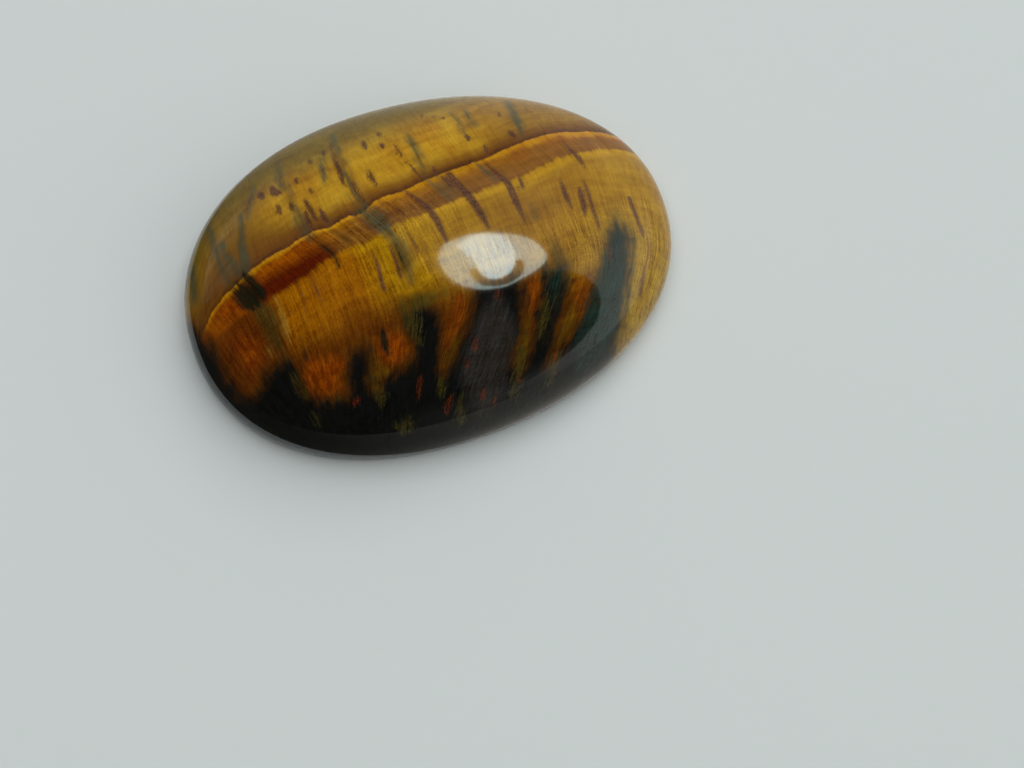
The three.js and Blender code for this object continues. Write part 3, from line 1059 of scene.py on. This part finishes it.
# %% [markdown]
# ## The polished surface
# The stone is two surfaces in one. Light enters the clear quartz and comes back from the
# threads, coloured and silky. Over that lies the polish, which mirrors lamps and table. So the
# material is a rough coloured base with the threads in its bump, under a smooth clear coat.
# The bevel and the back were only ground, so there the coat is gone and the base is matt.

# %% The stone's colour
tree = stone_material.node_tree
surface = tree.nodes["Principled BSDF"]


def read(name, output="Fac"):
    """One of the numbers stored on the mesh."""
    node = add_node(tree, "ShaderNodeAttribute", attribute_name=name)
    return Wire(tree, node.outputs[output])


def place_group(group, inputs):
    """One of the groups, placed in the material with its inputs fed."""
    node = tree.nodes.new("ShaderNodeGroup")
    node.node_tree = group
    for name, value in inputs.items():
        feed(tree, node.inputs[name], value)
    return node


fibre_place = read("fibre", "Vector")
threads = place_group(grain_tree, {"Fibre": fibre_place})
grains = {name: Wire(tree, threads.outputs[name]) for name in GRAIN_NAMES}
banded = place_group(bands, {"Fibre": fibre_place, "Band": read("band"), **grains})
mark_fields = {name: read(name.lower()) for name in MARK_NAMES}
marked = place_group(
    marks, {"Colour": Wire(tree, banded.outputs["Colour"]), **grains, **mark_fields}
)
silken = place_group(
    silk, {"Colour": Wire(tree, marked.outputs["Colour"]), "Fibre": fibre_place, **grains}
)
DUST = (0.5, 0.45, 0.36, 1.0)
DUSTING = 0.12  # how much dust whitens the ground bevel and back
ground = read("ground")
stone_look = Wire(tree, silken.outputs["Colour"])
stone_look = mixed(tree, ground * DUSTING, stone_look, DUST)
feed(tree, surface.inputs["Base Color"], stone_look)
print("the stone's colour:", len(tree.nodes), "nodes")

# %% The polish, and the matt bevel and back
QUARTZ_IOR = 1.54
BASE_ROUGHNESS = 0.55
GROUND_ROUGHER = 0.1  # how much rougher the ground bevel and back are
COAT_ROUGHNESS = 0.06
COAT_LEVEL = 0.9
PIT_DEPTH = 0.75  # how much of the polish is gone in a pit
THREAD_BUMP = 0.25
THREAD_HEIGHT = 0.03 * MM

# Tiny pits, drawn out along the threads, break the polish here and there, and dull it a little.
pits = (grains["Grit"] + grains["Fine"] * 0.6).ramp(0.66, 0.52)
dulling = (grains["Grit"] - 0.5) * 0.35 + (grains["Mottle"] - 0.5) * 0.4
polish = (1 - pits * PIT_DEPTH) * (dulling + COAT_LEVEL)
feed(tree, surface.inputs["Coat Weight"], ((1 - ground) * polish).most(0.0).least(1.0))
feed(tree, surface.inputs["Roughness"], ground * GROUND_ROUGHER + BASE_ROUGHNESS)
surface.inputs["Specular IOR Level"].default_value = 0.0  # only the coat mirrors
surface.inputs["IOR"].default_value = QUARTZ_IOR
surface.inputs["Coat Roughness"].default_value = COAT_ROUGHNESS
surface.inputs["Coat IOR"].default_value = QUARTZ_IOR
thread_bump = add_node(
    tree,
    "ShaderNodeBump",
    {"Height": grains["Fine"], "Strength": THREAD_BUMP, "Distance": THREAD_HEIGHT},
)
feed(tree, surface.inputs["Normal"], Wire(tree, thread_bump.outputs[0]))
print("material:", len(tree.nodes), "nodes")

# %% Say what the piece is
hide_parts("stone")
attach(stone, "root")
print("the stone stands for the CAD node")

# %% [markdown]
# ## Table, lamp and room
# A polished dome is a mirror of the whole room, so the room matters as much as the stone. It
# lies on a pale table. One round lamp hangs above and gives the eye-shaped highlight. A dark
# screen on one side keeps part of the dome free of reflections, and there the bands show their
# full depth; elsewhere the bright room lays a pale veil over them. Lamp and screen are placed
# by the direction in which the dome mirrors them: the two numbers of a place on a flat map of
# the sky, where (0, 0) is straight up and the horizon is the circle of radius 1.


# %% The table
def flat_sheet(name, corners, faces, material):
    """A sheet of the stage round the stone."""
    mesh = bpy.data.meshes.new(name)
    mesh.from_pydata(corners, [], faces)
    made = bpy.data.objects.new(name, mesh)
    made.data.materials.append(material)
    bpy.context.scene.collection.objects.link(made)
    return made


TABLE_SIZE = 3.0
TABLE_COLOUR = (0.745, 0.80, 0.80, 1.0)
TABLE_ROUGHNESS = 0.8
TABLE_SHINE = 0.1
table_material = bpy.data.materials.new("pale table")
table_material.use_nodes = True
table_surface = table_material.node_tree.nodes["Principled BSDF"]
table_surface.inputs["Base Color"].default_value = TABLE_COLOUR
table_surface.inputs["Roughness"].default_value = TABLE_ROUGHNESS
table_surface.inputs["Specular IOR Level"].default_value = TABLE_SHINE
half = TABLE_SIZE / 2
table_corners = [(-half, -half, 0), (half, -half, 0), (half, half, 0), (-half, half, 0)]
flat_sheet("table", table_corners, [(0, 1, 2, 3)], table_material)
print("table:", TABLE_SIZE, "m square")

# %% Cards hung by the map of the sky
SKY_RADIUS = 0.6  # metres from the stone to the cards
SKY_MIDDLE = Vector((0.0, 0.0, 5 * MM))  # about the middle of the stone


def sky_point(map_x, map_y, radius=SKY_RADIUS):
    """The point of the room that the flat map of the sky shows at map_x, map_y."""
    square = map_x * map_x + map_y * map_y
    direction = Vector((2 * map_x, 2 * map_y, 1 - square)) / (1 + square)
    return SKY_MIDDLE + direction * radius


def glow(name, colour, strength):
    """A material that only gives off light."""
    material = bpy.data.materials.new(name)
    material.use_nodes = True
    nodes = material.node_tree.nodes
    nodes.clear()
    light = nodes.new("ShaderNodeEmission")
    light.inputs["Color"].default_value = colour
    light.inputs["Strength"].default_value = strength
    out = nodes.new("ShaderNodeOutputMaterial")
    material.node_tree.links.new(light.outputs[0], out.inputs[0])
    return material


def sky_card(name, outline, material, radius=SKY_RADIUS):
    """A card hung in the room with this outline on the map, unseen by the camera itself."""
    middle = np.mean(outline, axis=0)
    corners = [sky_point(*middle, radius)] + [sky_point(*place, radius) for place in outline]
    count = len(outline)
    faces = [(0, 1 + i, 1 + (i + 1) % count) for i in range(count)]
    card = flat_sheet(name, corners, faces, material)
    card.visible_camera = False
    return card


def place_in_room(tree):
    """Where the point of a glowing sheet lies that is being mirrored, in metres."""
    return Wire(tree, add_node(tree, "ShaderNodeNewGeometry").outputs["Position"])


print("straight up:", [round(v, 3) for v in sky_point(0, 0)], "m")

# %% The lamp
SHADE_MAP = [
    (0.042, 0.083), (0.049, 0.100), (0.059, 0.110), (0.073, 0.113), (0.092, 0.116),
    (0.103, 0.119), (0.124, 0.114), (0.148, 0.106), (0.175, 0.096), (0.198, 0.082),
    (0.218, 0.065), (0.234, 0.043), (0.246, 0.016), (0.253, -0.013), (0.252, -0.034),
    (0.241, -0.052), (0.222, -0.066), (0.201, -0.077), (0.179, -0.085), (0.162, -0.090),
    (0.146, -0.093), (0.125, -0.089), (0.102, -0.077), (0.085, -0.063), (0.069, -0.042),
    (0.057, -0.019), (0.048, 0.010), (0.043, 0.039), (0.041, 0.064),
]  # fmt: skip
BOWL_MAP = [
    (0.085, 0.012), (0.085, -0.010), (0.091, -0.040), (0.105, -0.065), (0.125, -0.080),
    (0.145, -0.086), (0.162, -0.083), (0.178, -0.073), (0.190, -0.057), (0.195, -0.032),
    (0.193, -0.012), (0.180, -0.005), (0.140, -0.020), (0.105, -0.005),
]  # fmt: skip
BULB_MAP = [
    (0.076, 0.096), (0.091, 0.105), (0.104, 0.111), (0.123, 0.111), (0.144, 0.104),
    (0.164, 0.095), (0.176, 0.075), (0.181, 0.052), (0.182, 0.024), (0.178, -0.007),
    (0.170, -0.031), (0.158, -0.048), (0.143, -0.056), (0.127, -0.053), (0.114, -0.043),
    (0.106, -0.026), (0.101, -0.006), (0.100, 0.015), (0.093, 0.045), (0.084, 0.072),
]  # fmt: skip
SHADE_GLOW = ((0.8, 1.0, 0.94, 1.0), 6.2)  # colour and strength
BOWL_GLOW = ((1.0, 0.9, 0.6, 1.0), 1.2)
BULB_GLOW = ((0.76, 1.0, 1.04, 1.0), 11.2)
# Shade, dark bowl and bulb hang one in front of the other.
BOWL_RADIUS = 0.99 * SKY_RADIUS
BULB_RADIUS = 0.98 * SKY_RADIUS
lamp = sky_card("lamp", SHADE_MAP, glow("shade glow", *SHADE_GLOW))
bowl = sky_card("bowl", BOWL_MAP, glow("bowl glow", *BOWL_GLOW), BOWL_RADIUS)
bulb = sky_card("bulb", BULB_MAP, glow("bulb glow", *BULB_GLOW), BULB_RADIUS)
print("lamp at", [round(v, 3) for v in sky_point(*np.mean(SHADE_MAP, axis=0))], "m")

# %% The dark screen
SCREEN_MAP = [
    (-0.93, 0.37), (-0.78, 0.31), (-0.40, 0.28), (-0.23, 0.27), (-0.09, 0.29), (-0.04, 0.20),
    (-0.01, 0.15), (0.02, 0.05), (0.08, -0.04), (0.19, -0.08), (0.25, -0.09), (0.30, -0.11),
    (0.36, -0.16), (0.42, -0.25), (0.46, -0.38), (0.47, -0.50), (0.42, -0.62), (0.30, -0.75),
    (0.10, -0.85), (0.0, -1.0), (-0.5, -0.86), (-0.87, -0.5), (-1.0, 0.0),
]  # fmt: skip
WHITE = (1.0, 1.0, 1.0, 1.0)
SCREEN_RADIUS = 1.02 * SKY_RADIUS  # behind the lamp
SCREEN_DARK = 0.03
SCREEN_SPILL = 0.3
SPILL_TOP = 0.25  # metres above the table where the spill begins, and where it is full
SPILL_FOOT = 0.09
SPILL_LEFT = -0.18  # the same in metres from left to right
SPILL_RIGHT = 0.3
screen_glow = glow("dark screen", WHITE, 1.0)
screen = sky_card("screen", SCREEN_MAP, screen_glow, SCREEN_RADIUS)

# Towards its lower right, where the room's light spills on to it, the screen gets paler.
screen_tree = screen_glow.node_tree
screen_x, _, screen_z = split_xyz(screen_tree, place_in_room(screen_tree))
spill = screen_z.ramp(SPILL_TOP, SPILL_FOOT) * screen_x.ramp(SPILL_LEFT, SPILL_RIGHT)
screen_strength = spill * SCREEN_SPILL + SCREEN_DARK
feed(screen_tree, screen_tree.nodes["Emission"].inputs["Strength"], screen_strength)
print("screen:", len(SCREEN_MAP), "corners")

# %% [markdown]
# Some helpers work on the light without being seen. The lamp's pale blue-green would tint
# everything, so only the polish mirrors it. Two soft white lights do the lighting instead, and
# the polish doesn't mirror those: a large one overhead, and one from the far right, whose
# shadow falls towards the near left. And a glowing sheet over the table, which only the polish
# sees, is a painted reflection of the table. Its painted shade on the left keeps the rim
# of the stone deep and warm there, where the white table would turn it grey.

# %% The soft lights
for card in (lamp, bowl, bulb, screen):
    card.visible_diffuse = False
    card.visible_shadow = False


def soft_light(name, way, size, distance, strength):
    """A square light in this direction from the stone, which only lights and is never seen."""
    way = Vector(way).normalized()
    right = way.cross(Vector((0, 0, 1))).normalized() * (size / 2)
    up = right.cross(way).normalized() * (size / 2)
    middle = SKY_MIDDLE + way * distance
    corners = [middle - right - up, middle + right - up, middle + right + up, middle - right + up]
    card = flat_sheet(name, corners, [(0, 1, 2, 3)], glow(name, WHITE, strength))
    card.visible_camera = False
    card.visible_glossy = False
    print(name, "at", [round(v, 2) for v in middle], "m")


soft_light("overhead light", way=(0.02, 0.2, 0.98), size=0.7, distance=0.75, strength=1.95)
soft_light("side light", way=(0.5, 0.55, 0.67), size=0.45, distance=0.8, strength=2.3)

# %% The painted table reflection
# A glowing sheet just above the table that only the polish sees: a painted reflection of the table.
REFLECTION_SHEET_STEPS = 72
REFLECTION_SHEET_START = 1.01  # where its inner edge lies, as a multiple of the stone's outline
REFLECTION_SHEET_GAP = 0.22  # how much farther out that edge is on the left
REFLECTION_SHEET_REACH = 60.0  # where its outer edge lies
REFLECTION_SHEET_HEIGHT = 0.3 * MM
REFLECTION_SHEET_COLOUR = (1.0, 0.98, 0.88, 1.0)
# Painted shade: the sheet glows least in this direction, on the left of the stone.
PAINTED_SHADE_WAY = (-1.0, 0.08)  # the direction in which it is dark
PAINTED_SHADE_GLOW = 0.05
PAINTED_LIT_GLOW = 0.55
# Painted light: the sheet glows brighter on the far side.
PAINTED_FAR_LIGHT = 0.32  # how much brighter it is on the far side
reflection_sheet_turns = np.linspace(0, 2 * math.pi, REFLECTION_SHEET_STEPS, endpoint=False)
reflection_sheet_edge = outline_at(reflection_sheet_turns)
reflection_sheet_start = REFLECTION_SHEET_START + REFLECTION_SHEET_GAP * np.clip(-np.cos(reflection_sheet_turns), 0, 1)
reflection_sheet_corners = [(*point, REFLECTION_SHEET_HEIGHT) for point in reflection_sheet_edge * reflection_sheet_start[:, None]]
reflection_sheet_corners += [(*point, REFLECTION_SHEET_HEIGHT) for point in reflection_sheet_edge * REFLECTION_SHEET_REACH]
reflection_sheet_faces = []
for i in range(REFLECTION_SHEET_STEPS):
    after = (i + 1) % REFLECTION_SHEET_STEPS
    reflection_sheet_faces.append((i, after, REFLECTION_SHEET_STEPS + after, REFLECTION_SHEET_STEPS + i))
painted_reflection_glow = glow("painted_table_reflection", REFLECTION_SHEET_COLOUR, 1.0)
painted_reflection_tree = painted_reflection_glow.node_tree
reflection_sheet_place = place_in_room(painted_reflection_tree)
reflection_sheet_way = add_node(painted_reflection_tree, "ShaderNodeVectorMath", {0: reflection_sheet_place}, operation="NORMALIZE")
way_x, way_y, _ = split_xyz(painted_reflection_tree, Wire(painted_reflection_tree, reflection_sheet_way.outputs[0]))
# The sheet's glow: painted shade on the left, painted light on the far side.
painted_shade_side = way_x * PAINTED_SHADE_WAY[0] + way_y * PAINTED_SHADE_WAY[1]
painted_reflection_strength = painted_shade_side.ramp(-0.9, 0.85, PAINTED_LIT_GLOW, PAINTED_SHADE_GLOW)
painted_reflection_strength = painted_reflection_strength + way_y.ramp(0.4, 0.95) * PAINTED_FAR_LIGHT
feed(painted_reflection_tree, painted_reflection_tree.nodes["Emission"].inputs["Strength"], painted_reflection_strength)
painted_table_reflection = flat_sheet("painted_table_reflection", reflection_sheet_corners, reflection_sheet_faces, painted_reflection_glow)
painted_table_reflection.visible_camera = False
painted_table_reflection.visible_diffuse = False
painted_table_reflection.visible_shadow = False
print("cloth:", len(reflection_sheet_faces), "faces")

# %% The bright room
world = bpy.data.worlds.new("bright room")
bpy.context.scene.world = world
world.use_nodes = True
room = world.node_tree
backdrop = room.nodes["Background"]
sky = add_node(room, "ShaderNodeTexCoord")
look_x, look_y, look_z = split_xyz(room, Wire(room, sky.outputs["Generated"]))
ROOM_COLOUR = (0.97, 1.0, 0.95, 1.0)
ROOM_BASE = 0.14
FAR_WALL = 0.36  # how much brighter the room is low down on the far side
# Soft bright patches: each one's direction, the cosine of the angle to it where the patch begins
# and where it is full, and its strength.
ROOM_PATCHES = [
    ((0.34, 0.3, 0.89), 0.9, 0.99, 0.26),
    ((1, 0, 0), 0.25, 0.9, 0.36),
    ((0.8, -0.55, 0.25), 0.6, 0.97, 0.55),
]
room_light = ROOM_BASE
for direction, start, end, strength in ROOM_PATCHES:
    x, y, z = Vector(direction).normalized()
    nearness = look_x * x + look_y * y + look_z * z
    room_light = nearness.ramp(start, end) * strength + room_light
room_light = room_light + look_z.ramp(0.55, 0.0) * look_y.ramp(0.2, 0.85) * FAR_WALL
feed(room, backdrop.inputs["Strength"], room_light)
backdrop.inputs["Color"].default_value = ROOM_COLOUR
bpy.context.scene.view_settings.view_transform = "Standard"
print("room nodes:", len(room.nodes))

# %% [markdown]
# ## The camera
# The stone is seen nearly from straight above, tipped a little towards its -Y side, and the
# camera is turned so that the stone's length runs up to the right across the picture.

# %% Camera
AZIMUTH = math.radians(-17.18)
ELEVATION = math.radians(78.0)
DISTANCE = 140.03 * MM
LENS_MM = 72.19
SENSOR_MM = 36.0
LOOK_AT = Vector((0.0, 0.0, 3 * MM))
PICTURE_WIDTH = 1024
PICTURE_HEIGHT = 768
STONE_X = 429.43  # pixels from the picture's left and top edges to the point looked at
STONE_Y = 267.2
CLIP_NEAR = 5 * MM
CLIP_FAR = 10.0

back = Vector((
    math.sin(AZIMUTH) * math.cos(ELEVATION),
    -math.cos(AZIMUTH) * math.cos(ELEVATION),
    math.sin(ELEVATION),
))  # fmt: skip
right = Vector((math.cos(AZIMUTH), math.sin(AZIMUTH), 0.0))
up = back.cross(right)
focal_pixels = PICTURE_WIDTH * LENS_MM / SENSOR_MM
turn_right = math.atan((STONE_X - PICTURE_WIDTH / 2) / focal_pixels)
turn_up = math.atan((PICTURE_HEIGHT / 2 - STONE_Y) / focal_pixels)
turned = Matrix.Rotation(turn_right, 3, up) @ Matrix((right, up, back)).transposed()
turned = Matrix.Rotation(-turn_up, 3, turned.col[0]) @ turned

camera_data = bpy.data.cameras.new("camera")
camera_data.lens = LENS_MM
camera_data.sensor_width = SENSOR_MM
camera_data.clip_start = CLIP_NEAR
camera_data.clip_end = CLIP_FAR
camera = bpy.data.objects.new("camera", camera_data)
camera.matrix_world = Matrix.Translation(LOOK_AT + back * DISTANCE) @ turned.to_4x4()
bpy.context.scene.collection.objects.link(camera)
bpy.context.scene.camera = camera
print("camera at", [round(v / MM, 1) for v in camera.matrix_world.translation], "mm")
